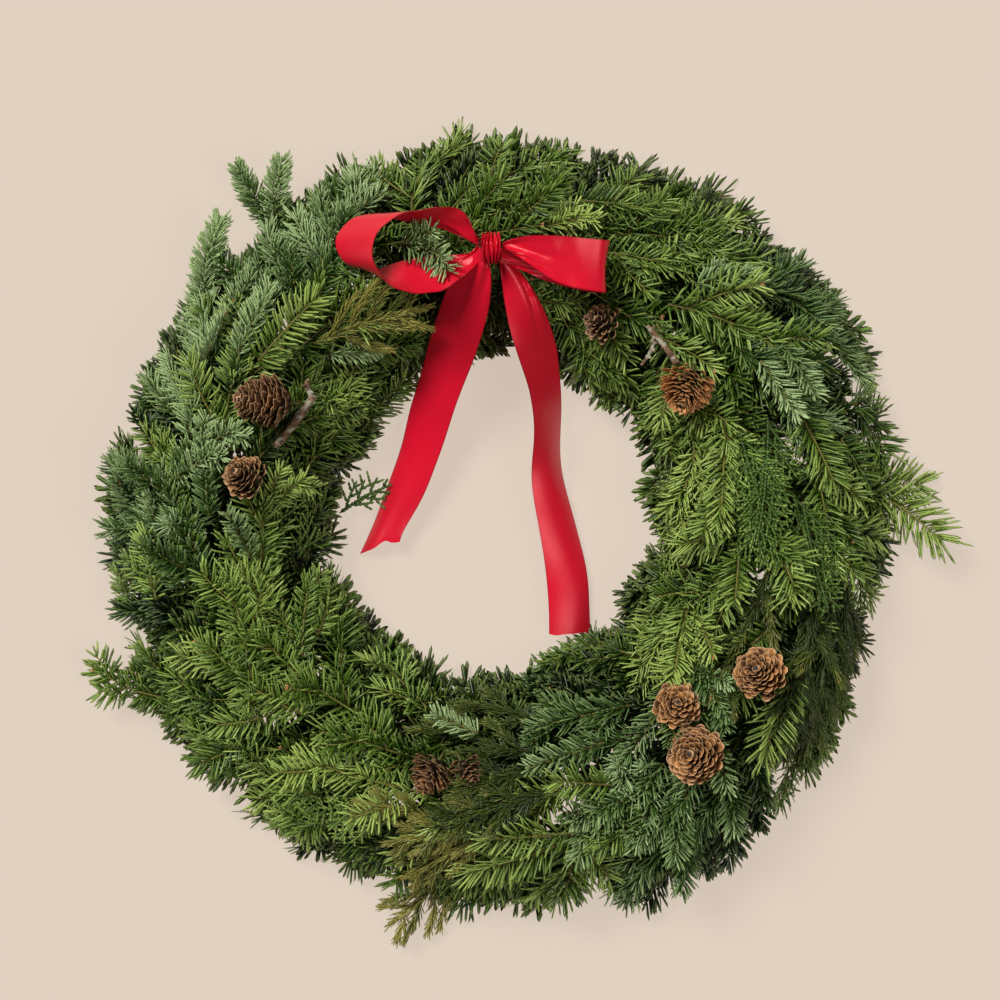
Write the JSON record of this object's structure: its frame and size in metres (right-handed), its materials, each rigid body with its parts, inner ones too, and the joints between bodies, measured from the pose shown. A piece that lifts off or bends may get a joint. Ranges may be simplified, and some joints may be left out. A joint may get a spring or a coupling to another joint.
{
  "type": "fresh evergreen wreath",
  "caption": "Round wreath of fresh fir, cedar and juniper tied on a wire frame, with larch cones and a red satin bow.",
  "frame": {"origin": "middle of the wreath's outline on the surface that it lies on", "axes": "+Z out of the wreath's face, +Y towards the bow at the top, +X to the right"},
  "size_m": [0.6402, 0.5824, 0.1131],
  "materials": {
    "noble_fir": "waxy blue-green needles",
    "grand_fir": "glossy bright green needles",
    "cedar": "satin green scales",
    "juniper": "dull brown-green scales",
    "cone": "dry woody scales",
    "bark": "rough bark with lichen",
    "satin": "satin ribbon",
    "frame_wire": "dark green lacquer",
    "tie_wire": "green lacquered iron wire"
  },
  "bodies": {
    "root": {"frame_outer_rail": "frame_wire", "frame_inner_rail": "frame_wire", "frame_strap_12_oclock": "frame_wire", "frame_strap_3_oclock": "frame_wire", "frame_strap_6_oclock": "frame_wire", "frame_strap_9_oclock": "frame_wire", "binding_wire": "tie_wire", "grand_fir_inner_spray_12": "grand_fir", "grand_fir_outer_spray_12": "grand_fir", "grand_fir_inner_spray_01": "grand_fir", "grand_fir_outer_spray_01": "grand_fir", "grand_fir_inner_spray_02": "grand_fir", "noble_fir_outer_spray_02": "noble_fir", "cedar_inner_spray_03": "cedar", "cedar_outer_spray_03": "cedar", "grand_fir_inner_spray_04": "grand_fir", "juniper_outer_spray_04": "juniper", "noble_fir_inner_spray_05": "noble_fir", "noble_fir_outer_spray_05": "noble_fir", "juniper_inner_spray_06": "juniper", "grand_fir_outer_spray_06": "grand_fir", "grand_fir_inner_spray_07": "grand_fir", "cedar_outer_spray_07": "cedar", "grand_fir_inner_spray_08": "grand_fir", "grand_fir_outer_spray_08": "grand_fir", "cedar_inner_spray_09": "cedar", "noble_fir_outer_spray_09": "noble_fir", "grand_fir_inner_spray_10": "grand_fir", "noble_fir_outer_spray_10": "noble_fir", "cedar_inner_spray_11": "cedar", "noble_fir_outer_spray_11": "noble_fir", "grand_fir_sprig_3_oclock": "grand_fir", "grand_fir_sprig_8_oclock": "grand_fir", "cedar_sprig_7_oclock": "cedar", "noble_fir_sprig_10_oclock": "noble_fir", "noble_fir_sprig_11_oclock": "noble_fir", "cedar_sprig_9_oclock": "cedar", "cedar_sprig_left_of_bow": "juniper", "noble_fir_tip_in_bow": "noble_fir", "larch_cone_1": "cone", "larch_cone_2": "cone", "larch_cone_3": "cone", "larch_cone_4": "cone", "larch_cone_5": "cone", "larch_cone_6": "cone", "larch_cone_7": "cone", "larch_cone_8": "cone", "larch_cone_9": "cone", "larch_twig_10_oclock": "bark", "larch_twig_2_oclock": "bark", "bow_knot": "satin", "bow_left_loop": "satin", "bow_right_loop": "satin", "bow_left_tail": "satin", "bow_right_tail": "satin", "bow_wire": "tie_wire"}
  },
  "joints": []
}
